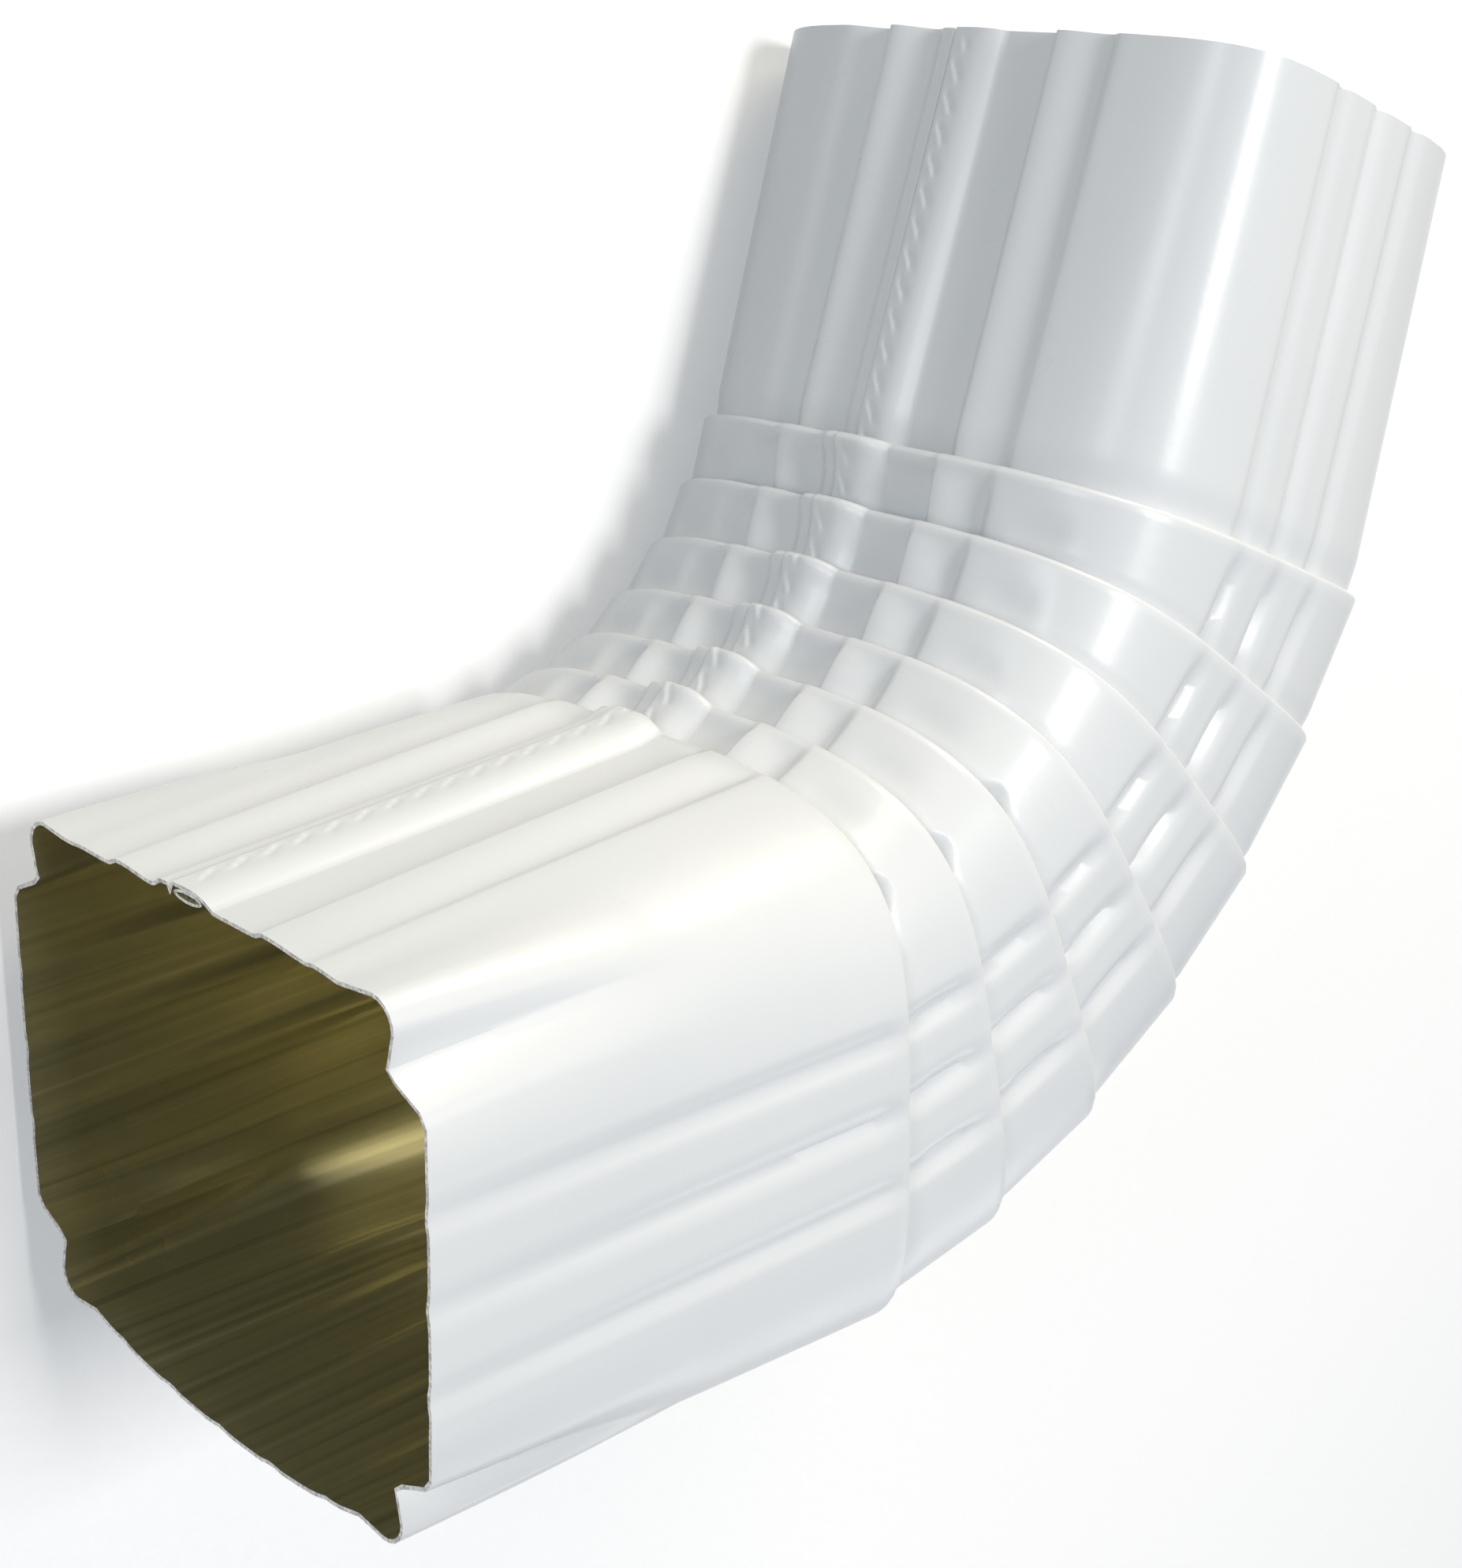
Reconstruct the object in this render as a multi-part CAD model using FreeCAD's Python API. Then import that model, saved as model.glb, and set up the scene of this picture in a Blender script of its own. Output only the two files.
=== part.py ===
import FreeCAD, Part
import os
from math import acos, asin, copysign, cos, radians, sin, tan

# Downspout elbow folded from one sheet: a straight inlet leg, a row of crimped gores
# round the bend, and an outlet leg drawn in to slip inside the next pipe.
# It lies on one narrow side: +Z runs across its width, the inlet opens towards -Y
# and the outlet leaves towards +X. Throat is the inside of the bend, heel the outside.

doc = FreeCAD.newDocument("downspout_elbow")
sheet = doc.addObject("Spreadsheet::Sheet", "dimensions")

# Driving dimensions: millimetres and degrees, with squareness and shares as plain numbers
dimensions = (
    ("wall", 0.6),
    ("bend_angle", 75),
    ("crimp_count", 7),
    ("throat_pitch", 11),
    ("inlet_length", 68.8),
    ("outlet_length", 79.5),
    ("inlet_width", 104),
    ("inlet_depth", 78),
    ("inlet_shift", 1.3),
    ("inlet_squareness", 5.2),
    ("lip_width", 108),
    ("lip_depth", 92.9),
    ("lip_squareness", 3.6),
    ("lip_heel_squareness", 4.6),
    ("lip_crest", 0.5),
    ("shoulder_run", 5),
    ("fold_gap", 0.3),
    ("throat_fold_gap", 1.8),
    ("fold_opening_power", 8),
    ("heel_tuck", 1.5),
    ("rib_groove_depth", 1.2),
    ("rib_groove_width", 5.2),
    ("side_groove_pitch", 12.7),
    ("heel_groove_pitch", 12.7),
    ("throat_groove_width", 4),
    ("throat_groove_spread", 46),
    ("throat_shift", 2.7),
    ("recess_width", 24),
    ("recess_depth", 1.2),
    ("seam_width", 9.4),
    ("seam_height", 1.5),
    ("seam_offset", 3.1),
    ("step_run", 1.1),
    ("outlet_width", 97.4),
    ("outlet_depth", 78),
    ("outlet_heel_bow", 3.2),
    ("outlet_rib_share", 0.2),
    ("notch_length", 44),
    ("notch_depth", 7.4),
    ("notch_height", 9.3),
    ("notch_run", 6.2),
    ("lobe_radius", 4.2),
    ("lobe_dip", 0.6),
)
for row, (alias, value) in enumerate(dimensions, start=1):
    sheet.set(f"A{row}", alias)
    sheet.set(f"B{row}", str(value))
    sheet.setAlias(f"B{row}", alias)
doc.recompute()


def size(alias):
    return float(sheet.get(alias))


wall = size("wall")
fold_gap = size("fold_gap")
layer = wall + fold_gap
lip_depth = size("lip_depth")
crimps = int(size("crimp_count"))
bend = radians(size("bend_angle"))
turn = bend / crimps
half_turn_slope = tan(turn / 2)
mitre_stretch = 1 / cos(turn / 2)
corner_points = 6
flat_within = 0.03


# Section of the pipe. A point is (across the width, towards the throat), and the outline
# runs along the throat wall, one side, the heel wall and the other side.
# A mark is (place along its wall, drop below the wall's bowed line).

def groove(place, depth, width):
    return [(place - width / 2, 0), (place, depth), (place + width / 2, 0)]


def throat_marks(rib_share):
    middle = size("throat_shift")
    spread = size("throat_groove_spread") / 2
    depth = size("rib_groove_depth") * rib_share
    width = size("throat_groove_width")
    recess = size("recess_depth") * rib_share
    recess_start = middle - size("recess_width") / 2
    recess_end = middle + size("recess_width") / 2
    run = size("step_run")
    seam_start = middle - size("seam_offset") - size("seam_width") / 2
    seam_end = seam_start + size("seam_width")
    seam_top = recess - size("seam_height")
    recess_with_seam = [
        (recess_start - run, 0),
        (recess_start, recess),
        (seam_start, recess),
        (seam_start + run, seam_top),
        (seam_end - run, seam_top),
        (seam_end, recess),
        (recess_end, recess),
        (recess_end + run, 0),
    ]
    first_groove = groove(middle - spread, depth, width)
    last_groove = groove(middle + spread, depth, width)
    return first_groove + recess_with_seam + last_groove


def rib_marks(pitch, ribs_each_side, rib_share):
    marks = []
    for step in range(-ribs_each_side, ribs_each_side + 1):
        marks += groove(step * pitch, size("rib_groove_depth") * rib_share, size("rib_groove_width"))
    return marks


def bowed_corner(half_width, half_depth, squareness, throat_end, side_end):
    # Round stretch from the outermost mark of a wide wall to the outermost mark of a side
    power = squareness / 2
    first = asin((throat_end / half_width) ** power)
    last = acos((side_end / half_depth) ** power)
    points = []
    for step in range(1, corner_points + 1):
        angle = first + (last - first) * step / (corner_points + 1)
        points.append((half_width * sin(angle) ** (1 / power), half_depth * cos(angle) ** (1 / power)))
    return points


def notched_corner(half_width, half_depth):
    # Square lobe beside a pressed-in notch, which takes up the girth of the reduced end
    lobe = half_width - size("notch_depth")
    radius = size("lobe_radius")
    notch = half_depth - size("notch_height")
    run = size("notch_run")
    bulge = radius / 4
    return [
        (lobe - 2 * radius, half_depth - size("lobe_dip")),
        (lobe + bulge - radius, half_depth),
        (lobe + bulge, half_depth - radius),
        (lobe, notch),
        (half_width - run / 4, notch - run / 2),
        (half_width, notch - run),
    ]


def section(width, depth, squareness, heel_squareness, rib_share, notched=False, heel_bow=0):
    half_width = width / 2
    half_depth = depth / 2

    def bow(half_here, half_along, place, power):
        return half_here * (1 - abs(place / half_along) ** power) ** (1 / power)

    def side_bow(place):
        power = squareness if place > 0 else heel_squareness
        return bow(half_width, half_depth, place, power)

    throat = throat_marks(rib_share)
    side = rib_marks(size("side_groove_pitch"), 1, rib_share)
    heel = rib_marks(size("heel_groove_pitch"), 2, rib_share)
    throat_end = throat[-1][0]
    side_end = side[-1][0]
    heel_end = heel[-1][0]
    if notched:
        throat_corner = notched_corner(half_width, half_depth)
        heel_corner = throat_corner
    else:
        throat_corner = bowed_corner(half_width, half_depth, squareness, throat_end, side_end)
        heel_corner = bowed_corner(half_width, half_depth, heel_squareness, heel_end, side_end)

    outline = [(place, bow(half_depth, half_width, place, squareness) - drop) for place, drop in throat]
    outline += throat_corner
    outline += [(side_bow(-place) - drop, -place) for place, drop in side]
    outline += [(across, -height) for across, height in reversed(heel_corner)]
    for place, drop in heel:
        belly = heel_bow * (1 - (place / (heel_end + size("lobe_radius"))) ** 2)
        outline.append((-place, drop - belly - bow(half_depth, half_width, place, heel_squareness)))
    outline += [(-across, -height) for across, height in heel_corner]
    outline += [(drop - side_bow(place), place) for place, drop in side]
    outline += [(-across, height) for across, height in reversed(throat_corner)]
    return [FreeCAD.Vector(across, height) for across, height in outline]


def inside(outline, distance):
    # The outline moved in by a distance square to its wall
    shifted = []
    for before, here, after in zip(outline[-1:] + outline[:-1], outline, outline[1:] + outline[:1]):
        along = (here - before).normalize()
        onward = (after - here).normalize()
        normals = FreeCAD.Vector(along.y + onward.y, -along.x - onward.x)
        shifted.append(here + normals * (distance / (1 + along.dot(onward))))
    return shifted


# Rings: the section set across the path of the bend

def heading(angle):
    return FreeCAD.Vector(sin(angle), cos(angle), 0)


def ring(outline, centre, angle, stretch=1):
    to_throat = FreeCAD.Vector(cos(angle), -sin(angle), 0) * stretch
    return [centre + to_throat * p.y + FreeCAD.Vector(0, 0, p.x) for p in outline]


def along(points, direction, distance):
    return [p + direction * distance for p in points]


def blend(start, finish, share):
    return [first + (last - first) * share for first, last in zip(start, finish)]


# Centres of the inlet rim, of each crimp and of the outlet rim
leg_gain = lip_depth / 2 * half_turn_slope
inlet_centre = FreeCAD.Vector(size("inlet_shift"), -size("inlet_length") - leg_gain, 0)
crimp_centres = [FreeCAD.Vector(0, 0, 0)]
for crimp in range(1, crimps):
    gore_length = size("throat_pitch") + 2 * leg_gain
    crimp_centres.append(crimp_centres[-1] + heading(crimp * turn) * gore_length)
neck_length = size("outlet_length") - size("notch_length") + leg_gain
neck_centre = crimp_centres[-1] + heading(bend) * neck_length
outlet_centre = neck_centre + heading(bend) * size("notch_length")

# Sections along the path. The neck is where the notches of the outlet leg begin.
reduced = neck_length / (neck_length + size("notch_length"))


def between(start, finish):
    return start + (finish - start) * reduced


inlet_section = section(
    size("inlet_width"), size("inlet_depth"), size("inlet_squareness"), size("inlet_squareness"), 1)
lip_section = section(
    size("lip_width"), lip_depth, size("lip_squareness"), size("lip_heel_squareness"), 1)
neck_section = section(
    between(size("lip_width"), size("outlet_width")),
    between(lip_depth, size("outlet_depth")),
    between(size("lip_squareness"), size("inlet_squareness")),
    between(size("lip_heel_squareness"), size("inlet_squareness")),
    between(1, size("outlet_rib_share")))
outlet_section = section(
    size("outlet_width"), size("outlet_depth"), size("inlet_squareness"), size("inlet_squareness"),
    size("outlet_rib_share"), notched=True, heel_bow=size("outlet_heel_bow"))


# The folds stand open at the throat, where most sheet is gathered, and close up round to the heel
def open_share(p):
    return max(p.y / (lip_depth / 2), 0) ** size("fold_opening_power")


extra_gap = size("throat_fold_gap") - fold_gap
fold_gaps = [fold_gap + extra_gap * open_share(p) for p in lip_section]


def to_inside(p):
    # Square to the plain bowed wall of a lip, so that ribs and seam keep their width
    power = size("lip_squareness") if p.y > 0 else size("lip_heel_squareness")
    half_width = size("lip_width") / 2
    half_depth = lip_depth / 2
    across = copysign(abs(p.x / half_width) ** (power - 1) / half_width, p.x)
    height = copysign(abs(p.y / half_depth) ** (power - 1) / half_depth, p.y)
    return FreeCAD.Vector(-across, -height).normalize()


def leg_ring(outline, centre, angle, thickness):
    return ring(inside(outline, thickness), centre, angle)


def crimp_ring(crimp, walls, gaps, even=0, thickness=0):
    # A ring in the plane of a crimp, inside its lip by walls, fold gaps and an even distance
    moved = []
    for p, gap in zip(lip_section, fold_gaps):
        moved.append(p + to_inside(p) * (walls * wall + gaps * gap + even))
    return ring(inside(moved, thickness), crimp_centres[crimp], (crimp + 0.5) * turn, mitre_stretch)


def gore_foot(crimp, even, thickness):
    # Lower end of the wall that starts at a crimp: inside the next lip, or at the neck
    if crimp + 1 < crimps:
        return crimp_ring(crimp + 1, 2, 2, even, thickness)
    return leg_ring(neck_section, neck_centre, bend, even + thickness)


# The shoulder is the line where a wall begins to neck in towards the lip below it
def inlet_shoulder(thickness):
    heel_length = size("inlet_length") + 2 * leg_gain
    upper = leg_ring(inlet_section, inlet_centre, 0, thickness)
    lower = crimp_ring(0, 1, 2, 0, thickness)
    return blend(upper, lower, 1 - size("shoulder_run") / heel_length)


def gore_shoulder(crimp, thickness):
    heel_length = size("throat_pitch") + 4 * leg_gain
    upper = crimp_ring(crimp, 1, 1.5, 0, thickness)
    lower = crimp_ring(crimp + 1, 1, 1.5, 0, thickness)
    return blend(upper, lower, 1 - size("shoulder_run") / heel_length)


def wall_length(crimp, to_throat):
    rise = (lip_depth / 2 - to_throat) * half_turn_slope
    if crimp + 1 < crimps:
        return size("throat_pitch") + 2 * rise
    return size("outlet_length") - size("notch_length") + rise


def tuck_ring(crimp, even, thickness=0, extra=0):
    # Turned-up edge hidden inside the gore: shallow at the heel and deep at the throat
    points = []
    tops = crimp_ring(crimp, 0, 0, even, thickness)
    for top, foot, p in zip(tops, gore_foot(crimp, even, thickness), lip_section):
        depth = size("heel_tuck") + (p.y + lip_depth / 2) * half_turn_slope + extra
        points.append(top + (foot - top) * (depth / wall_length(crimp, p.y)))
    return points


# Outer and inner skins. At each crimp the sheet goes down inside the gore, turns up,
# comes over the lip and goes down again, three layers with a narrow gap between them.
outer_rings = [leg_ring(inlet_section, inlet_centre, 0, 0), inlet_shoulder(0), crimp_ring(0, 2, 2)]
inner_rings = [
    leg_ring(inlet_section, inlet_centre, 0, wall),
    inlet_shoulder(wall),
    crimp_ring(0, 2, 2, 0, wall),
]
for crimp in range(crimps):
    down = heading((crimp + 1) * turn)
    fold_middle = crimp_ring(crimp, 1, 0.5)
    outer_rings += [
        tuck_ring(crimp, 2 * layer - fold_gap / 2),
        crimp_ring(crimp, 2, 1),
        along(fold_middle, down, -size("lip_crest")),
        crimp_ring(crimp, 0, 0),
    ]
    inner_rings += [
        tuck_ring(crimp, 2 * layer, wall, wall),
        tuck_ring(crimp, wall + layer, -wall, wall),
        along(fold_middle, down, wall),
    ]
    if crimp + 1 < crimps:
        outer_rings.append(gore_shoulder(crimp, 0))
        inner_rings.append(gore_shoulder(crimp, wall))
    outer_rings.append(gore_foot(crimp, 0, 0))
    inner_rings.append(gore_foot(crimp, 0, wall))
outer_rings.append(leg_ring(outlet_section, outlet_centre, bend, 0))
inner_rings.append(leg_ring(outlet_section, outlet_centre, bend, wall))


def panel(first, second, third, fourth):
    # One flat or slightly warped panel between two rings, or two triangles creased where it is twisted
    if (first - second + third - fourth).Length / 4 < flat_within:
        return [Part.makeRuledSurface(Part.makeLine(first, second), Part.makeLine(fourth, third))]
    return [Part.Face(Part.makePolygon([first, second, third, first])),
            Part.Face(Part.makePolygon([first, third, fourth, first]))]


def skin(rings):
    panels = []
    for upper, lower in zip(rings, rings[1:]):
        corners = zip(upper, upper[1:] + upper[:1], lower[1:] + lower[:1], lower)
        for first, second, third, fourth in corners:
            panels += panel(first, second, third, fourth)
    return panels


def rim(outer, inner):
    edges = [Part.makePolygon(points + points[:1]) for points in (outer, inner)]
    return Part.makeFace(edges, "Part::FaceMakerBullseye")


rims = [rim(outer_rings[end], inner_rings[end]) for end in (0, -1)]
sewn = Part.makeCompound(skin(outer_rings) + skin(inner_rings) + rims)
sewn.sewShape()
solid = Part.makeSolid(sewn.Shells[0])
if solid.Volume < 0:
    solid.reverse()

elbow = doc.addObject("Part::Feature", "downspout_elbow")
elbow.Label = "downspout_elbow"
elbow.Shape = solid
box = solid.BoundBox
elbow.Placement = FreeCAD.Placement(
    FreeCAD.Vector(-box.Center.x, -box.Center.y, -box.ZMin), FreeCAD.Rotation())
doc.recompute()

# Nothing is written unless every object is sound
for item in doc.Objects:
    if "Invalid" in item.State or "Error" in item.State:
        raise RuntimeError(f"{item.Label} failed to build")
if elbow.Shape.isNull() or not elbow.Shape.isValid() or len(elbow.Shape.Solids) != 1:
    raise RuntimeError(f"{elbow.Label} is not one sound solid")

os.makedirs("parts", exist_ok=True)
elbow.Shape.exportStep(f"parts/{elbow.Label}.step")
print(f"{elbow.Label}: {elbow.Shape.BoundBox}, {len(elbow.Shape.Faces)} faces, {elbow.Shape.Volume:.0f} mm3")
print(f"inlet centre {elbow.Placement.multVec(inlet_centre)}")
print(f"outlet centre {elbow.Placement.multVec(outlet_centre)}")
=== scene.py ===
from math import cos, pi, radians, sin, tan

import bmesh
import bpy
import numpy as np
from mathutils import Matrix, Vector


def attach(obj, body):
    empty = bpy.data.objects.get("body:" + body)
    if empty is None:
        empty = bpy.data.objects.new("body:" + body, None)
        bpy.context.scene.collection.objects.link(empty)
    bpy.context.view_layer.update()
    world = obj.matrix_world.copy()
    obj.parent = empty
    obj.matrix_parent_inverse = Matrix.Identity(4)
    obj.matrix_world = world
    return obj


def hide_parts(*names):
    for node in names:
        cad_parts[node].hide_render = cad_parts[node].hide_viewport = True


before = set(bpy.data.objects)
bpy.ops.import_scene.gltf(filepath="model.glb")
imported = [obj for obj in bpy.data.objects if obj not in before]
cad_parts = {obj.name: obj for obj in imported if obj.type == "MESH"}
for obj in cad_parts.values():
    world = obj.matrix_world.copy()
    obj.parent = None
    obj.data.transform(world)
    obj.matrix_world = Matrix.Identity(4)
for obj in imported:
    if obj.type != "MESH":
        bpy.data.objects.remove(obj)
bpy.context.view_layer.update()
print("frame loaded")


# Elbow: one ribbed sheet tube, crimped round the bend (sizes in mm, angles in degrees)
elbow = {
    "bendStart": (-56.674, -39.202, 54.0),  # middle of the first crimp
    "wall": 0.6, "bend": 75, "crimps": 7, "throatPitch": 11.0,
    "inletLength": 68.78, "outletLength": 79.5, "notchLength": 44.0,
    "inlet": (104.0, 78.0), "inletShift": 1.3, "inletPower": 5.2,  # a higher power makes squarer corners
    "neckStart": 0.9,  # share of the inlet before it necks in under the first lip
    "lip": (107.9, 92.8), "lipPower": 3.6, "heelPower": 4.6, "legDepth": 92.9,
    "outlet": (97.4, 78.0), "heelBow": 3.2, "heelBowHalf": 35,
    "foldGap": 0.3, "throatGap": 1.8, "gapPower": 8,  # between a crimp's layers, wide at the throat only
    "heelTuck": 1.5, "tuckGap": 0.45, "lipRise": 0.75, "lipSwell": 0.35,
    "shoulder": 0.8, "shoulderGaps": 1.5,  # share of a gore before it necks in, and its inset there
    "ribDepth": 1.2, "ribWidth": 5.4, "ribPitch": 12.7, "throatShift": 2.7,
    "sideRibPairs": 1, "heelRibPairs": 2,  # on each side of the middle rib
    "lipRibs": 0.15, "ribStart": 0.3, "legRibStart": 0.06,  # ribs are flat at a lip, full after these shares
    "goreRibs": (0.5, 0.55, 0.28),  # how much deeper ribs are in a gore, where and how wide
    "outletRibs": 0.32, "lipLock": 1.6,  # depth of the ribs at the outlet's rim, height of the seam at a lip
    "inletRings": [(0, 0.87, 14), (0.89, 1, 9)],  # from, to and count
    "lipRings": 7, "goreRings": 12, "outletRings": 44, "smoothAngle": 48,
}
# Notch pressed into each corner of the outlet, as steps across and up from its lobe, crease and side wall
notchForm = {
    "depth": 7.4, "height": 9.3, "power": 0.9,
    "lobe": 4.2, "lobeReach": 3.15, "lobeSteps": 5, "leadIn": (-8.4, -0.6),
    "crease": [(0.2, 1.2), (-0.2, 0.2), (1.1, -0.9)], "runOut": [(-1.6, -3.1), (-0.3, -4.96)],
}
# Dimple where each notch of the outlet begins
dimple = {"centre": (44.6, 30.5), "radius": 3.4, "share": 0.47, "run": 0.045, "depth": 0.75}
# Soft puckers low in each gore, beside the throat: place and depth
pucker = {"places": [(-34, 1.7), (36, 1.1)], "width": 3, "share": 0.66, "run": 0.24}
# Thumb dents that the crimping leaves at one corner, just above a lip
cornerDent = {
    "gores": (3, 4, 5), "centre": (48.5, 33.8), "radius": 3.9, "edge": 2.2, "depth": 0.95,
    "rings": 6, "cuts": 2,
}
# Lanced stitches that lock the seam
stitch = {
    "pitch": 5.1, "start": -6.75, "finish": -5.0, "slant": 0.78,  # the cut edge runs slanted across the seam
    "rise": 0.18, "sink": 0.28, "fade": 1.1, "step": 0.3,
    "opens": 0.16, "closes": (0.62, 0.82), "rimFade": (1, 4),
    "band": (-7.7, -3.7), "bandFade": (0.5, 0.6), "grain": 0.5, "mostCuts": 9,
}
# Gentle falls and sharp rises across the throat: from, to and height
throatSteps = [
    (-32.5, -24, -1.7), (-23.8, -21.4, 2.4), (-20.8, -12.9, -1.95), (-12.9, -4, 0.5), (-4, 10, -0.3),
    (10.9, 12.7, 1.8), (13.2, 21.9, -1.55), (21.9, 23.9, 0.95), (24.6, 28.5, -0.2)]
# Folded seam on the throat: its climb, the gap at its free edge, its leaf and its rounded fall
seam = {
    "under": (-12.7, -10.4, 1.05), "gap": (-8.2, 0.2, 1.2),
    "freeEdge": -8.07, "leaf": 0.4, "fall": (-3.4, 1.9),
}

metre = 1000  # mm
wall = elbow["wall"]
bend = radians(elbow["bend"])
turn = bend / elbow["crimps"]
slope = tan(turn / 2)
stretch = 1 / cos(turn / 2)
halfLip = elbow["lip"][1] / 2
legGain = elbow["legDepth"] / 2 * slope
legLength = elbow["outletLength"] + legGain
notchStart = 1 - elbow["notchLength"] / legLength
lastCrimp = elbow["crimps"] - 1

# Places of the points round a section, close together at the seam and the rises: from, to and count
throatRuns = [
    (-33, -25, 7), (-24.2, -20.6, 8), (-19.4, -13.8, 5), (-12.9, -9.6, 6), (-8.7, -7.95, 4),
    (*stitch["band"], 11), (-2.9, 1.9, 7), (2.3, 2.3, 1), (4, 9.4, 4), (10.7, 13, 7),
    (14.2, 21, 6), (21.7, 24.1, 6), (25.2, 26.8, 2), (28.5, 28.5, 1)]
throatPlaces = np.concatenate([np.linspace(*run) for run in throatRuns])
sidePlaces = np.linspace(18.2, -18.2, 25)
heelPlaces = np.linspace(30.6, -30.6, 37)
cornerShares = np.array([  # close together at the notch
    0.1, 0.2, 0.28, 0.34, 0.4, 0.46, 0.515, 0.555, 0.59, 0.66, 0.76, 0.88])
around = len(throatPlaces) + 2 * len(sidePlaces) + len(heelPlaces) + 4 * len(cornerShares)


def mix(first, last, share):
    return first + (last - first) * share


def ease(value, start, finish):
    share = np.clip((value - start) / (finish - start), 0, 1)
    return share * share * (3 - 2 * share)


def dent(place, middle, width):
    return np.exp(-((place - middle) / width) ** 2)


def groove(place, middle, width):
    share = np.clip(np.abs(place - middle) / (width / 2), 0, 1)
    return 0.5 + 0.5 * np.cos(pi * share)


def throatDrop(place, ribs, lock):
    rise = 0 * place
    for start, finish, height in throatSteps:
        rise = rise + height * ribs * ease(place, start, finish)
    start, finish, height = seam["under"]
    folded = height * ease(place, start, finish) + seam["leaf"] * (place > seam["freeEdge"])
    start, finish = seam["fall"]
    fall = np.clip((place - start) / (finish - start), 0, 1) ** 2  # rounds over and ends sharply
    middle, width, depth = seam["gap"]
    return depth * dent(place, middle, width) - rise - lock * folded * (1 - fall)


def ribDrop(place, pairs, ribs):
    drop = 0 * place
    for step in range(-pairs, pairs + 1):
        drop = drop + groove(place, step * elbow["ribPitch"], elbow["ribWidth"])
    return elbow["ribDepth"] * ribs * drop


def bow(halfHere, halfAlong, place, power):
    return halfHere * (1 - np.abs(place / halfAlong) ** power) ** (1 / power)


def roundCorner(half, power, wideEnd, sideEnd):
    first = np.arcsin((wideEnd / half[0]) ** (power / 2))
    last = np.arccos((sideEnd / half[1]) ** (power / 2))
    angle = mix(first, last, cornerShares)
    return np.stack([half[0] * np.sin(angle) ** (2 / power), half[1] * np.cos(angle) ** (2 / power)], 1)


def notchedCorner(half):
    # As many points as a round corner, round the lobe and through the notch's crease to the side wall
    lobeEnd = half[0] - notchForm["depth"]
    creaseHeight = half[1] - notchForm["height"]
    radius = notchForm["lobe"]
    middle = (lobeEnd - notchForm["lobeReach"], half[1] - radius)
    across, up = notchForm["leadIn"]
    line = [(lobeEnd + across, half[1] + up)]
    for step in range(notchForm["lobeSteps"] + 1):
        angle = pi / 2 * step / notchForm["lobeSteps"]
        line.append((middle[0] + radius * sin(angle), middle[1] + radius * cos(angle)))
    line += [(lobeEnd + across, creaseHeight + up) for across, up in notchForm["crease"]]
    line += [(half[0] + across, creaseHeight + up) for across, up in notchForm["runOut"]]
    return np.array(line)


def section(size, power, heelPower, ribs, lock=1.0, notch=0, heelBow=0):
    # Outline of the tube: throat, near side, heel and far side, each with the corner after it
    half = (size[0] / 2, size[1] / 2)
    throatAcross = throatPlaces + elbow["throatShift"]
    throatHeight = bow(half[1], half[0], throatAcross, power) - throatDrop(throatPlaces, ribs, lock)
    throat = np.stack([throatAcross, throatHeight], 1)
    sidePower = np.where(sidePlaces > 0, power, heelPower)
    sideAcross = bow(half[0], half[1], sidePlaces, sidePower)
    side = np.stack([sideAcross - ribDrop(sidePlaces, elbow["sideRibPairs"], ribs), sidePlaces], 1)
    belly = heelBow * (1 - (heelPlaces / elbow["heelBowHalf"]) ** 2)
    heelHeight = -bow(half[1], half[0], heelPlaces, heelPower) - belly
    heel = np.stack([heelPlaces, heelHeight + ribDrop(heelPlaces, elbow["heelRibPairs"], ribs)], 1)
    throatCorner = roundCorner(half, power, throatAcross[-1], sidePlaces[0])
    heelCorner = roundCorner(half, heelPower, heelPlaces[0], sidePlaces[0])
    if notch:
        pressed = notchedCorner(half)
        throatCorner = mix(throatCorner, pressed, notch)
        heelCorner = mix(heelCorner, pressed, notch)
    flip = np.array([-1, 1])
    return np.concatenate([
        throat, throatCorner, side, heelCorner[::-1] * -flip, heel,
        -heelCorner, side[::-1] * flip, throatCorner[::-1] * flip])


def inward(outline, size, power, heelPower):
    # Square to the plain bowed wall, so ribs and seam keep their width
    half = np.array(size) / 2
    powers = np.where(outline[:, 1] > 0, power, heelPower)[:, None]
    normal = -np.sign(outline) * np.abs(outline / half) ** (powers - 1) / half
    return normal / np.linalg.norm(normal, axis=1)[:, None]


def heading(angle):
    return np.array([sin(angle), cos(angle), 0])


def throatward(angle):
    return np.array([cos(angle), -sin(angle), 0])


def setRing(outline, centre, angle, tall=1.0):
    points = centre + outline[:, 1:] * throatward(angle) * tall
    points[:, 2] += outline[:, 0]
    return points


lipShape = (elbow["lip"], elbow["lipPower"], elbow["heelPower"])
lipLine = section(*lipShape, 1, elbow["lipLock"])
ribPattern = lipLine - section(*lipShape, 0, elbow["lipLock"])
lipInward = inward(lipLine, *lipShape)
throatShare = np.clip(lipLine[:, 1] / halfLip, 0, 1)
gaps = mix(elbow["foldGap"], elbow["throatGap"], throatShare ** elbow["gapPower"])
underLip = 2 * wall + 2 * gaps  # inset of the wall that goes in under a lip
centres = [np.zeros(3)]
for crimp in range(1, elbow["crimps"]):
    centres.append(centres[-1] + heading(crimp * turn) * (elbow["throatPitch"] + 2 * legGain))


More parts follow.
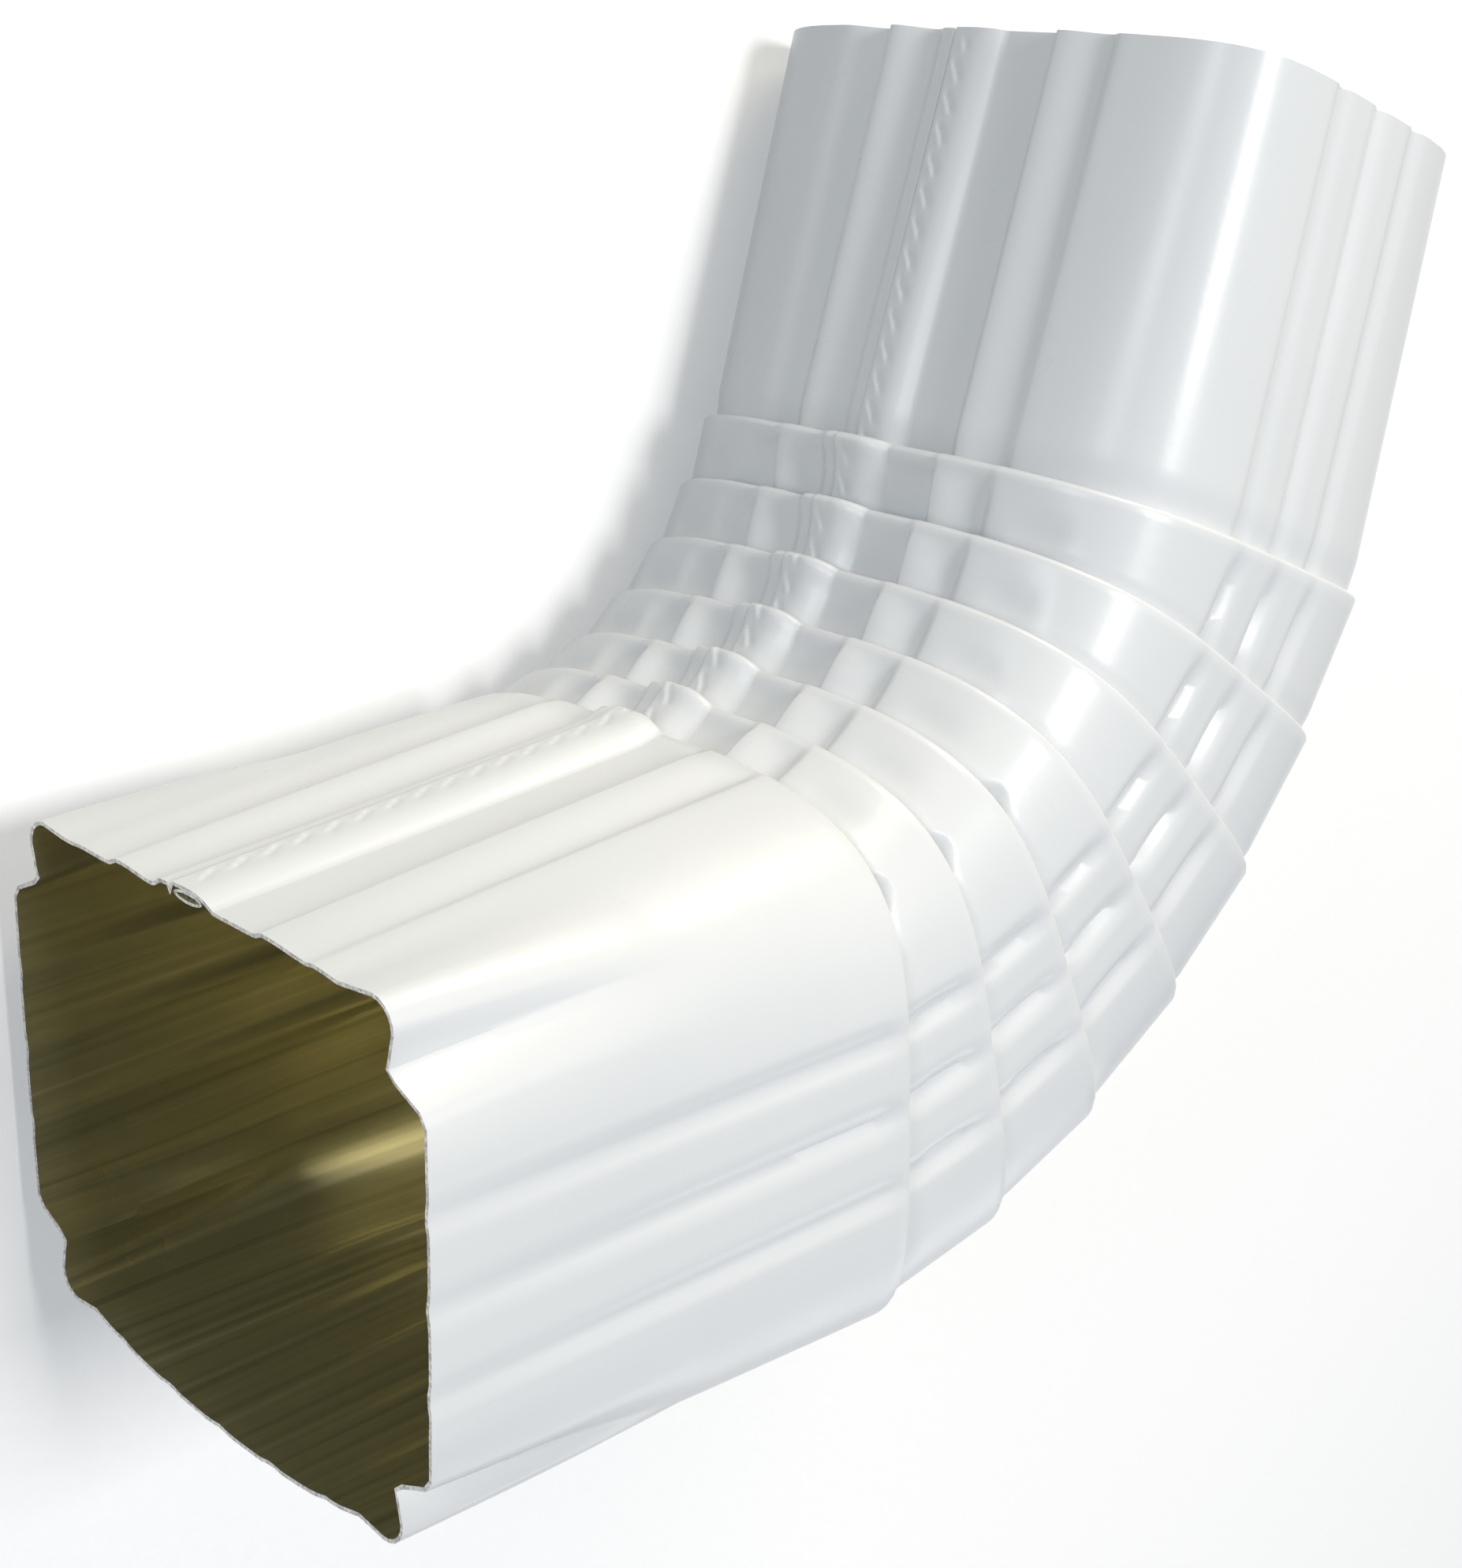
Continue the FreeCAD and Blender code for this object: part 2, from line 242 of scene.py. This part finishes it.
def crimpRing(crimp, inset, rise=0, ribs=1.0):
    outline = lipLine + ribPattern * (ribs - 1) + lipInward * np.broadcast_to(inset, gaps.shape)[:, None]
    ring = setRing(outline, centres[crimp], (crimp + 0.5) * turn, stretch)
    return ring - np.broadcast_to(rise, gaps.shape)[:, None] * heading((crimp + 1) * turn)


def ribShare(share, start):
    return mix(elbow["lipRibs"], 1, ease(share, 0, start))


def legSection(share):
    # Outlet leg from the last lip (0) to its rim (1)
    size = [mix(lip, outlet, share) for lip, outlet in zip(elbow["lip"], elbow["outlet"])]
    power = mix(elbow["lipPower"], elbow["inletPower"], share)
    heelPower = mix(elbow["heelPower"], elbow["inletPower"], share)
    notch = max(0, (share - notchStart) / (1 - notchStart)) ** notchForm["power"]
    ribs = mix(1, elbow["outletRibs"], share ** 2) * ribShare(share, elbow["legRibStart"])
    lock = mix(elbow["lipLock"], 1, share)
    outline = section(size, power, heelPower, ribs, lock, notch, elbow["heelBow"] * notch)
    away = np.linalg.norm(np.abs(outline) - dimple["centre"], axis=1)
    pressed = dent(share, dimple["share"], dimple["run"]) * dent(away, 0, dimple["radius"])
    return outline - np.sign(outline) * dimple["depth"] * pressed[:, None]


def inletRings():
    start = np.array([elbow["inletShift"], -elbow["inletLength"] - legGain, 0])
    rim = setRing(section(elbow["inlet"], elbow["inletPower"], elbow["inletPower"], 1), start, 0)
    proud = crimpRing(0, underLip - wall)
    low = crimpRing(0, underLip)
    rings = []
    for share in np.concatenate([np.linspace(*run) for run in elbow["inletRings"]]):
        end = mix(proud, low, ease(share, elbow["neckStart"], 1))
        rings.append(mix(rim, end, share))
    return rings


def foldFoot(crimp):
    # Where the wall after a crimp ends: under the next lip, or where the outlet's notches begin
    if crimp < lastCrimp:
        return crimpRing(crimp + 1, underLip)
    centre = centres[-1] + heading(bend) * (legLength - elbow["notchLength"])
    return setRing(legSection(notchStart), centre, bend)


def tuckRings(crimp):
    # The sheet goes down inside the gore, turns up and comes back to the lip
    toLip = (halfLip - lipLine[:, 1]) * slope
    length = elbow["throatPitch"] + 2 * toLip
    if crimp == lastCrimp:
        length = elbow["outletLength"] - elbow["notchLength"] + toLip
    depth = elbow["heelTuck"] + (lipLine[:, 1] + halfLip) * slope
    chordInward = lipInward[:, 1:] * throatward((crimp + 1) * turn)
    chordInward[:, 2] = lipInward[:, 0]
    chord = mix(crimpRing(crimp, 0), foldFoot(crimp), (depth / length)[:, None])
    inside = chord + chordInward * (2 * wall + elbow["tuckGap"])
    down = crimpRing(crimp, underLip)
    up = crimpRing(crimp, underLip - gaps, ribs=elbow["lipRibs"])
    return [(down + inside) / 2, inside, (up + inside) / 2]


def lipRings(crimp):
    # Half a turn from the inner layer of a lip to its outer one
    height = elbow["lipRise"] + elbow["lipSwell"] * (gaps - elbow["foldGap"])
    rings = []
    for angle in np.linspace(pi, 0, elbow["lipRings"]):
        inset = (underLip - gaps) * (1 - cos(angle)) / 2
        rings.append(crimpRing(crimp, inset, height * sin(angle), elbow["lipRibs"]))
    return rings


def goreRing(crimp, share):
    # The wall between one lip (0) and the next (1)
    deeper, middle, width = elbow["goreRibs"]
    ribs = ribShare(share, elbow["ribStart"]) * (1 + deeper * dent(share, middle, width))
    proud = wall + elbow["shoulderGaps"] * gaps
    inset = proud * min(share / elbow["shoulder"], 1)
    inset = inset + (underLip - proud) * ease(share, elbow["shoulder"], 1)
    for place, depth in pucker["places"]:
        across = dent(lipLine[:, 0], place, pucker["width"]) * throatShare ** 2
        inset = inset + depth * dent(share, pucker["share"], pucker["run"]) * across
    top = crimpRing(crimp, inset, ribs=ribs)
    foot = crimpRing(crimp + 1, inset, ribs=ribs)
    return mix(top, foot, share)


def outletRings():
    # From the slanted last lip to the square rim
    slanted = crimpRing(lastCrimp, 0, ribs=elbow["lipRibs"])
    slant = slanted - setRing(legSection(0), centres[-1], bend)
    rings = []
    for share in np.linspace(0, 1, elbow["outletRings"])[1:]:
        ring = setRing(legSection(share), centres[-1] + heading(bend) * legLength * share, bend)
        rings.append(ring + slant * (1 - share))
    return rings


rings = inletRings()
facing = [0.0] * len(rings)  # heading of the wall at each ring
onShow = [1.0] * len(rings)  # 0 in the folds
goreFeet = []
for crimp in range(elbow["crimps"]):
    folded = tuckRings(crimp) + lipRings(crimp)
    rings += folded
    onShow += [0.0] * (len(folded) - 1) + [1.0]
    if crimp < lastCrimp:
        rings += [goreRing(crimp, (step + 1) / elbow["goreRings"]) for step in range(elbow["goreRings"])]
        onShow += [1.0] * elbow["goreRings"]
        goreFeet.append(len(rings) - 1)
    facing += [(crimp + 1) * turn] * (len(rings) - len(facing))
rings += outletRings()
facing += [bend] * (len(rings) - len(facing))
onShow += [1.0] * (len(rings) - len(onShow))
sheet = np.array(rings)
facing = np.array(facing)
onShow = np.array(onShow)
ringNumbers = np.arange(len(rings))
bandStart, bandEnd = stitch["band"]
seamColumns = np.where((throatPlaces >= bandStart) & (throatPlaces <= bandEnd))[0]
seamLine = sheet[:, seamColumns[len(seamColumns) // 2]]
seamGaps = np.linalg.norm(np.diff(seamLine, axis=0), axis=1)
alongSeam = np.concatenate([[0], np.cumsum(seamGaps)])
dentFeet = [goreFeet[gore] for gore in cornerDent["gores"]]
awayFromDent = np.linalg.norm(lipLine - cornerDent["centre"], axis=1)
dentColumn = int(np.argmin(awayFromDent))
print("rings", len(rings), "points round", around)


# The elbow is formed from a flat blank, as the real one is
onLine = 1e-3  # a point this near to a ring or column lies on it


def blankPlace(points):
    # Ring and column of points on the flat blank
    return (points[:, 1] + 0.5) * (len(rings) - 1), (0.5 - points[:, 0]) * around


def blankPoints(blank):
    points = np.zeros(len(blank.data.vertices) * 3)
    blank.data.vertices.foreach_get("co", points)
    return blankPlace(points.reshape(-1, 3))


def flatBlank(name):
    # A flat sheet cut into as many strips as the elbow has rings and columns
    bpy.ops.object.select_all(action="DESELECT")
    bpy.ops.mesh.primitive_grid_add(x_subdivisions=around, y_subdivisions=len(rings) - 1, size=1)
    blank = bpy.context.object
    blank.name = name
    return blank


def refineSeam(blank):
    # More cuts along the seam, so that its stitches can be pressed
    cuts = np.rint(seamGaps / stitch["grain"]).astype(int) - 1
    shown = (onShow[:-1] > 0) & (onShow[1:] > 0)
    cuts = np.where(shown, np.clip(cuts, 0, stitch["mostCuts"]), 0)
    bpy.ops.mesh.select_mode(type="EDGE")
    for count in np.unique(cuts[cuts > 0]):
        bpy.ops.mesh.select_all(action="DESELECT")
        edit = bmesh.from_edit_mesh(blank.data)
        for edge in edit.edges:
            row, column = blankPlace(np.array([vert.co for vert in edge.verts]))
            gap = int(round(min(row)))
            oneRingTall = round(abs(row[0] - row[1]), 1) == 1
            if oneRingTall and cuts[gap] == count and int(round(column[0])) in seamColumns:
                edge.select_set(True)
        bmesh.update_edit_mesh(blank.data)
        bpy.ops.mesh.subdivide(number_cuts=int(count), ngon=False)


def refineDents(blank):
    # Finer faces where the corner dents go
    reached = awayFromDent < 2 * cornerDent["radius"]
    bpy.ops.mesh.select_mode(type="FACE")
    bpy.ops.mesh.select_all(action="DESELECT")
    edit = bmesh.from_edit_mesh(blank.data)
    for face in edit.faces:
        row, column = blankPlace(np.array([face.calc_center_median()]))
        near = any(foot - cornerDent["rings"] < row[0] < foot for foot in dentFeet)
        face.select_set(near and bool(reached[int(column[0]) % around]))
    bmesh.update_edit_mesh(blank.data)
    bpy.ops.mesh.subdivide(number_cuts=cornerDent["cuts"], ngon=False)


def mapSheet(blank):
    # The flat blank's own map, in metres round and along the sheet
    row, column = blankPoints(blank)
    lengthRound = np.linalg.norm(np.diff(lipLine, axis=0, append=lipLine[:1]), axis=1)
    girth = np.interp(column, np.arange(around + 1), np.concatenate([[0], np.cumsum(lengthRound)]))
    along = np.interp(row, ringNumbers, alongSeam)
    vertex = np.zeros(len(blank.data.loops), int)
    blank.data.loops.foreach_get("vertex_index", vertex)
    layer = blank.data.uv_layers.active or blank.data.uv_layers.new()
    layer.name = "sheetMap"
    layer.data.foreach_set("uv", np.stack([girth, along], 1)[vertex].ravel() / metre)


def neighbours(place):
    # The line before each place, and smooth weights for the four lines about it
    before = np.floor(place + onLine).astype(int)
    past = np.clip(place - before, 0, 1)
    past = np.where(past < onLine, 0, past)
    square = past ** 2
    cube = past ** 3
    return before, [
        -0.5 * past + square - 0.5 * cube, 1 - 2.5 * square + 1.5 * cube,
        0.5 * past + 2 * square - 1.5 * cube, -0.5 * square + 0.5 * cube]


def stitchRise(place, length):
    # A leaf is raised on one side of each lanced edge and pressed down on the other
    share = length / stitch["pitch"] % 1
    edge = mix(stitch["start"], stitch["finish"], ease(share, 0, stitch["slant"]))
    side = ease(edge - place, -stitch["step"], stitch["step"])
    leaf = dent(place, edge, stitch["fade"]) * (stitch["rise"] * side - stitch["sink"] * (1 - side))
    strength = ease(share, 0, stitch["opens"]) * (1 - ease(share, *stitch["closes"]))
    rimStart, rimEnd = stitch["rimFade"]  # no stitches at the rims
    strength = strength * ease(length, rimStart, rimEnd) * ease(alongSeam[-1] - length, rimStart, rimEnd)
    startFade, endFade = stitch["bandFade"]
    strength = strength * ease(place, bandStart, bandStart + startFade) * ease(bandEnd - place, 0, endFade)
    return strength * leaf


def dentDepth(row, outline):
    across = np.linalg.norm(outline - cornerDent["centre"], axis=1)
    innerRadius = cornerDent["radius"] - cornerDent["edge"]
    depth = 0 * row
    for foot in dentFeet:
        goreLength = np.linalg.norm(sheet[foot - elbow["goreRings"], dentColumn] - sheet[foot, dentColumn])
        away = np.hypot(across, goreLength * (foot - row) / elbow["goreRings"])
        inGore = (row <= foot + onLine) & (row > foot - cornerDent["rings"])
        pressed = cornerDent["depth"] * (1 - ease(away, innerRadius, cornerDent["radius"]))
        depth = depth + np.where(inGore, pressed, 0)
    return depth


def formSheet(blank):
    # Each point of the blank goes to its place on the elbow
    row, column = blankPoints(blank)
    rowBefore, rowWeights = neighbours(row)
    columnBefore, columnWeights = neighbours(column)
    placed = np.zeros((len(row), 3))
    outline = np.zeros((len(row), 2))  # the same point on a lip's section
    for i in range(4):
        atColumn = (columnBefore + i - 1) % around
        outline += lipLine[atColumn] * columnWeights[i][:, None]
        for j in range(4):
            atRow = np.clip(rowBefore + j - 1, 0, len(rings) - 1)
            placed += sheet[atRow, atColumn] * (columnWeights[i] * rowWeights[j])[:, None]
    angle = np.interp(row, ringNumbers, facing)
    toThroat = np.stack([np.cos(angle), -np.sin(angle), 0 * angle], 1)
    shown = np.interp(row, ringNumbers, onShow) > 1 - onLine
    stitched = shown & np.isin(np.rint(column).astype(int), seamColumns)
    rise = stitchRise(outline[:, 0] - elbow["throatShift"], np.interp(row, ringNumbers, alongSeam))
    placed += toThroat * np.where(stitched, rise, 0)[:, None]
    inwards = inward(outline, *lipShape)
    inwards = toThroat * inwards[:, 1:] + np.array([0, 0, 1]) * inwards[:, :1]
    placed += inwards * dentDepth(row, outline)[:, None]
    placed = (placed + elbow["bendStart"]) / metre
    blank.data.vertices.foreach_set("co", placed.ravel())
    blank.data.update()


def closeSheet():
    # The two long sides of the formed blank meet and are joined
    bpy.ops.object.mode_set(mode="EDIT")
    bpy.ops.mesh.select_all(action="SELECT")
    bpy.ops.mesh.remove_doubles(threshold=1e-6)
    bpy.ops.object.mode_set(mode="OBJECT")


elbowSkin = flatBlank("elbowSheet")
bpy.ops.object.mode_set(mode="EDIT")
refineSeam(elbowSkin)
refineDents(elbowSkin)
bpy.ops.object.mode_set(mode="OBJECT")
mapSheet(elbowSkin)
formSheet(elbowSkin)
closeSheet()
print("sheet formed", len(elbowSkin.data.polygons))

thick = elbowSkin.modifiers.new("wall", "SOLIDIFY")
thick.thickness = wall / metre
thick.offset = -1  # all of the wall lies inside the formed face
thick.use_even_offset = False
thick.material_offset = 1  # wash coat inside
thick.material_offset_rim = 2  # bare metal at the rims


# Finishes
def newFinish(name, metal):
    finish = bpy.data.materials.new(name)
    finish.use_nodes = True
    tree = finish.node_tree
    shader = tree.nodes["Principled BSDF"]
    shader.inputs["Metallic"].default_value = metal
    return finish, tree, shader


def coordinates(tree, kind):
    return tree.nodes.new("ShaderNodeTexCoord").outputs[kind]


def noise(tree, source, scale, detail):
    texture = tree.nodes.new("ShaderNodeTexNoise")
    texture.inputs["Scale"].default_value = scale
    texture.inputs["Detail"].default_value = detail
    tree.links.new(source, texture.inputs["Vector"])
    return texture.outputs["Fac"]


def ramp(tree, value, tones):
    node = tree.nodes.new("ShaderNodeValToRGB")
    tree.links.new(value, node.inputs["Fac"])
    stops = node.color_ramp.elements
    for index, (place, colour) in enumerate(tones):
        stop = stops[index] if index < 2 else stops.new(place)  # a new ramp has two stops
        stop.position = place
        stop.color = (*colour, 1)
    node.color_ramp.interpolation = "EASE"
    return node.outputs["Color"]


noiseReach = (0.1, 0.9)  # the noise seldom goes past these values


def spread(tree, value, low, high):
    node = tree.nodes.new("ShaderNodeMapRange")
    node.inputs["From Min"].default_value, node.inputs["From Max"].default_value = noiseReach
    node.inputs["To Min"].default_value = low
    node.inputs["To Max"].default_value = high
    tree.links.new(value, node.inputs["Value"])
    return node.outputs["Result"]


def bump(tree, shader, height, distance, under=None):
    node = tree.nodes.new("ShaderNodeBump")
    node.inputs["Strength"].default_value = 1.0
    node.inputs["Distance"].default_value = distance
    tree.links.new(height, node.inputs["Height"])
    if under:
        tree.links.new(under, node.inputs["Normal"])
    tree.links.new(node.outputs["Normal"], shader.inputs["Normal"])
    return node.outputs["Normal"]


def compare(tree, operation, value, limit):
    node = tree.nodes.new("ShaderNodeMath")
    node.operation = operation
    node.inputs[1].default_value = limit
    tree.links.new(value, node.inputs[0])
    return node.outputs["Value"]


# Baked white enamel: a little uneven in tone and gloss, with orange peel and a few specks of dust
enamelLook = {
    "tones": [(0.1, (0.79, 0.808, 0.823)), (0.9, (0.825, 0.838, 0.85))], "patch": 22,
    "rough": (0.24, 0.36), "glossPatch": 66,
    "wave": 40, "waveHeight": 0.00005, "peel": 950, "peelHeight": 0.000012,
    "speck": (0.22, 0.21, 0.19), "speckCells": 46, "speckSize": 0.012, "speckShare": 0.86,
}


def dusted(tree, place, tone):
    # A speck in the middle of a few of the cells
    look = enamelLook
    cells = tree.nodes.new("ShaderNodeTexVoronoi")
    cells.inputs["Scale"].default_value = look["speckCells"]
    tree.links.new(place, cells.inputs["Vector"])
    split = tree.nodes.new("ShaderNodeSeparateColor")
    tree.links.new(cells.outputs["Color"], split.inputs["Color"])
    both = tree.nodes.new("ShaderNodeMath")
    both.operation = "MULTIPLY"
    tree.links.new(compare(tree, "LESS_THAN", cells.outputs["Distance"], look["speckSize"]), both.inputs[0])
    tree.links.new(compare(tree, "GREATER_THAN", split.outputs["Red"], look["speckShare"]), both.inputs[1])
    blend = tree.nodes.new("ShaderNodeMix")
    blend.data_type = "RGBA"
    blend.inputs["B"].default_value = (*look["speck"], 1)
    tree.links.new(both.outputs["Value"], blend.inputs["Factor"])
    tree.links.new(tone, blend.inputs["A"])
    return blend.outputs["Result"]


def whiteEnamel():
    look = enamelLook
    finish, tree, shader = newFinish("whiteEnamel", metal=0.0)
    place = coordinates(tree, "Object")
    tone = ramp(tree, noise(tree, place, look["patch"], detail=4), look["tones"])
    tree.links.new(dusted(tree, place, tone), shader.inputs["Base Color"])
    gloss = noise(tree, place, look["glossPatch"], detail=2)
    tree.links.new(spread(tree, gloss, *look["rough"]), shader.inputs["Roughness"])
    waves = bump(tree, shader, noise(tree, place, look["wave"], detail=1), look["waveHeight"])
    bump(tree, shader, noise(tree, place, look["peel"], detail=1), look["peelHeight"], waves)
    return finish


# Thin olive wash coat inside, drawn out in streaks along the sheet
washLook = {
    "tones": [(0.3, (0.34, 0.32, 0.17)), (0.52, (0.49, 0.455, 0.25)), (0.75, (0.68, 0.62, 0.37))],
    "streaks": (420, 5, 1), "streakHeight": 0.00003, "cloud": 12, "rough": (0.22, 0.34),
}


def oliveWashCoat():
    look = washLook
    finish, tree, shader = newFinish("oliveWashCoat", metal=0.7)
    drawn = tree.nodes.new("ShaderNodeMapping")
    drawn.inputs["Scale"].default_value = look["streaks"]
    tree.links.new(coordinates(tree, "UV"), drawn.inputs["Vector"])
    streaks = noise(tree, drawn.outputs["Vector"], 1, detail=3)
    tree.links.new(ramp(tree, streaks, look["tones"]), shader.inputs["Base Color"])
    cloud = noise(tree, coordinates(tree, "Object"), look["cloud"], detail=3)
    tree.links.new(spread(tree, cloud, *look["rough"]), shader.inputs["Roughness"])
    bump(tree, shader, streaks, look["streakHeight"])
    return finish


# Sheared aluminium at the two rims
edgeLook = {
    "tones": [(0.3, (0.32, 0.32, 0.31)), (0.7, (0.66, 0.66, 0.65))],
    "shear": 1500, "shearHeight": 0.00004, "rough": 0.42,
}


def bareCutEdge():
    look = edgeLook
    finish, tree, shader = newFinish("bareCutEdge", metal=0.9)
    shader.inputs["Roughness"].default_value = look["rough"]
    shear = noise(tree, coordinates(tree, "Object"), look["shear"], detail=2)
    tree.links.new(ramp(tree, shear, look["tones"]), shader.inputs["Base Color"])
    bump(tree, shader, shear, look["shearHeight"])
    return finish


enamel = whiteEnamel()
washCoat = oliveWashCoat()
bareEdge = bareCutEdge()
print("finishes mixed")

for finish in (enamel, washCoat, bareEdge):
    elbowSkin.data.materials.append(finish)
bpy.ops.object.modifier_apply(modifier="wall")
bpy.ops.object.shade_smooth_by_angle(angle=radians(elbow["smoothAngle"]))
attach(elbowSkin, "root")
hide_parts("downspout_elbow")
print("elbow triangles", sum(len(face.vertices) - 2 for face in elbowSkin.data.polygons))


# Folded layers of the lock seam, seen at each rim (sizes in mm)
seamFold = {
    "from": -7.5, "to": -0.9, "thick": 1.7, "length": 9, "back": 0.12, "clear": 0.03,
    "edge": 0.42, "slot": 0.13, "slotDepth": 0.5, "facets": 40, "smoothAngle": 40,
}
endFace = 0.9  # a face this square to the rim is the fold's end


def foldedEnd(name, row, angle, outward):
    middle = (seamFold["from"] + seamFold["to"]) / 2
    column = int(np.argmin(np.abs(throatPlaces - middle)))
    place = sheet[row, column] - throatward(angle) * (wall + seamFold["thick"] / 2 + seamFold["clear"])
    place = place - heading(angle) * outward * (seamFold["length"] / 2 + seamFold["back"])
    bpy.ops.object.select_all(action="DESELECT")
    bpy.ops.mesh.primitive_cylinder_add(vertices=seamFold["facets"], radius=0.5, depth=1)
    fold = bpy.context.object
    fold.name = name
    bpy.ops.object.mode_set(mode="EDIT")
    bpy.ops.mesh.select_all(action="SELECT")
    size = np.array([seamFold["to"] - seamFold["from"], seamFold["thick"], seamFold["length"]]) / metre
    bpy.ops.transform.resize(value=tuple(size))
    bpy.ops.mesh.select_all(action="DESELECT")
    bpy.ops.mesh.select_mode(type="FACE")
    edit = bmesh.from_edit_mesh(fold.data)
    for face in edit.faces:
        face.select_set(face.normal.z * outward > endFace)
    bmesh.update_edit_mesh(fold.data)
    bpy.ops.mesh.inset(thickness=seamFold["edge"] / metre)
    bpy.ops.mesh.inset(thickness=seamFold["slot"] / metre, depth=-seamFold["slotDepth"] / metre)
    bpy.ops.object.mode_set(mode="OBJECT")
    turned = Matrix(((0, 0, 1), tuple(throatward(angle)), tuple(heading(angle)))).transposed().to_4x4()
    fold.matrix_world = Matrix.Translation((place + elbow["bendStart"]) / metre) @ turned
    bpy.ops.object.transform_apply(location=True, rotation=True, scale=True)
    fold.data.materials.append(washCoat)
    fold.data.materials.append(bareEdge)
    outwards = Vector(heading(angle) * outward)
    for face in fold.data.polygons:
        face.material_index = int(face.normal.dot(outwards) > endFace)
    bpy.ops.object.shade_smooth_by_angle(angle=radians(seamFold["smoothAngle"]))
    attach(fold, "root")
    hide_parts("downspout_elbow")


foldedEnd("outletSeamFold", -1, bend, 1)
foldedEnd("inletSeamFold", 0, 0, -1)
print("seam folds made")


# Pale floor, which glows faintly to keep its shadows pale
floorLook = {
    "size": 12, "tones": [(0.3, (0.95, 0.95, 0.95)), (0.7, (0.97, 0.97, 0.97))], "grain": 400,
    "rough": 0.8, "glow": 0.16,
}
bpy.ops.object.select_all(action="DESELECT")
bpy.ops.mesh.primitive_plane_add(size=floorLook["size"], location=(0, 0, 0))
floor = bpy.context.object
floor.name = "paleFloor"
floorFinish, tree, shader = newFinish("paleFloor", metal=0.0)
grain = noise(tree, coordinates(tree, "Object"), floorLook["grain"], detail=3)
tree.links.new(ramp(tree, grain, floorLook["tones"]), shader.inputs["Base Color"])
shader.inputs["Roughness"].default_value = floorLook["rough"]
shader.inputs["Emission Color"].default_value = (1, 1, 1, 1)
shader.inputs["Emission Strength"].default_value = floorLook["glow"]
floor.data.materials.append(floorFinish)
floor.visible_diffuse = False  # the floor throws no diffuse light back on the elbow

# Soft light from above, from the two ends and from behind: place, size, power and colour of each box
studio = {
    "sky": (0.90, 0.95, 1.0), "skyStrength": 0.31, "aim": (0, 0, 0.05),
    "boxes": {
        "topBox": ((0.15, -0.5, 2.0), (0.5, 0.75), 22, (1.0, 0.995, 0.985)),
        "window": ((1.8, -0.45, 0.6), (0.9, 0.5), 7.5, (0.93, 0.97, 1.0)),
        "warmCard": ((-0.15, -0.95, 0.3), (0.5, 0.4), 5.0, (1.0, 0.89, 0.66)),
        "rearBox": ((-1.3, 1.1, 0.45), (0.9, 0.6), 2.8, (0.96, 0.98, 1.0)),
    },
}
world = bpy.data.worlds.new("studio")
bpy.context.scene.world = world
world.use_nodes = True
sky = world.node_tree.nodes["Background"]
sky.inputs["Color"].default_value = (*studio["sky"], 1)
sky.inputs["Strength"].default_value = studio["skyStrength"]
bpy.context.scene.view_settings.view_transform = "Standard"


def softbox(name, place, size, power, colour):
    light = bpy.data.lights.new(name, "AREA")
    light.shape = "RECTANGLE"
    light.size, light.size_y = size
    light.energy = power
    light.color = colour
    lamp = bpy.data.objects.new(name, light)
    bpy.context.scene.collection.objects.link(lamp)
    lamp.location = place
    lamp.rotation_euler = (Vector(studio["aim"]) - Vector(place)).to_track_quat("-Z", "Y").to_euler()


for name, box in studio["boxes"].items():
    softbox(name, *box)
print("studio lit")

camera = {"place": (0.26687, -0.03484, 0.28354), "turns": (-21.16767, -45.69315, -162.20161), "lens": 49.84}
view = bpy.data.cameras.new("photoView")
view.lens = camera["lens"]
viewer = bpy.data.objects.new("photoView", view)
bpy.context.scene.collection.objects.link(viewer)
viewer.location = camera["place"]
viewer.rotation_euler = [radians(angle) for angle in camera["turns"]]
bpy.context.scene.camera = viewer
print("camera set")
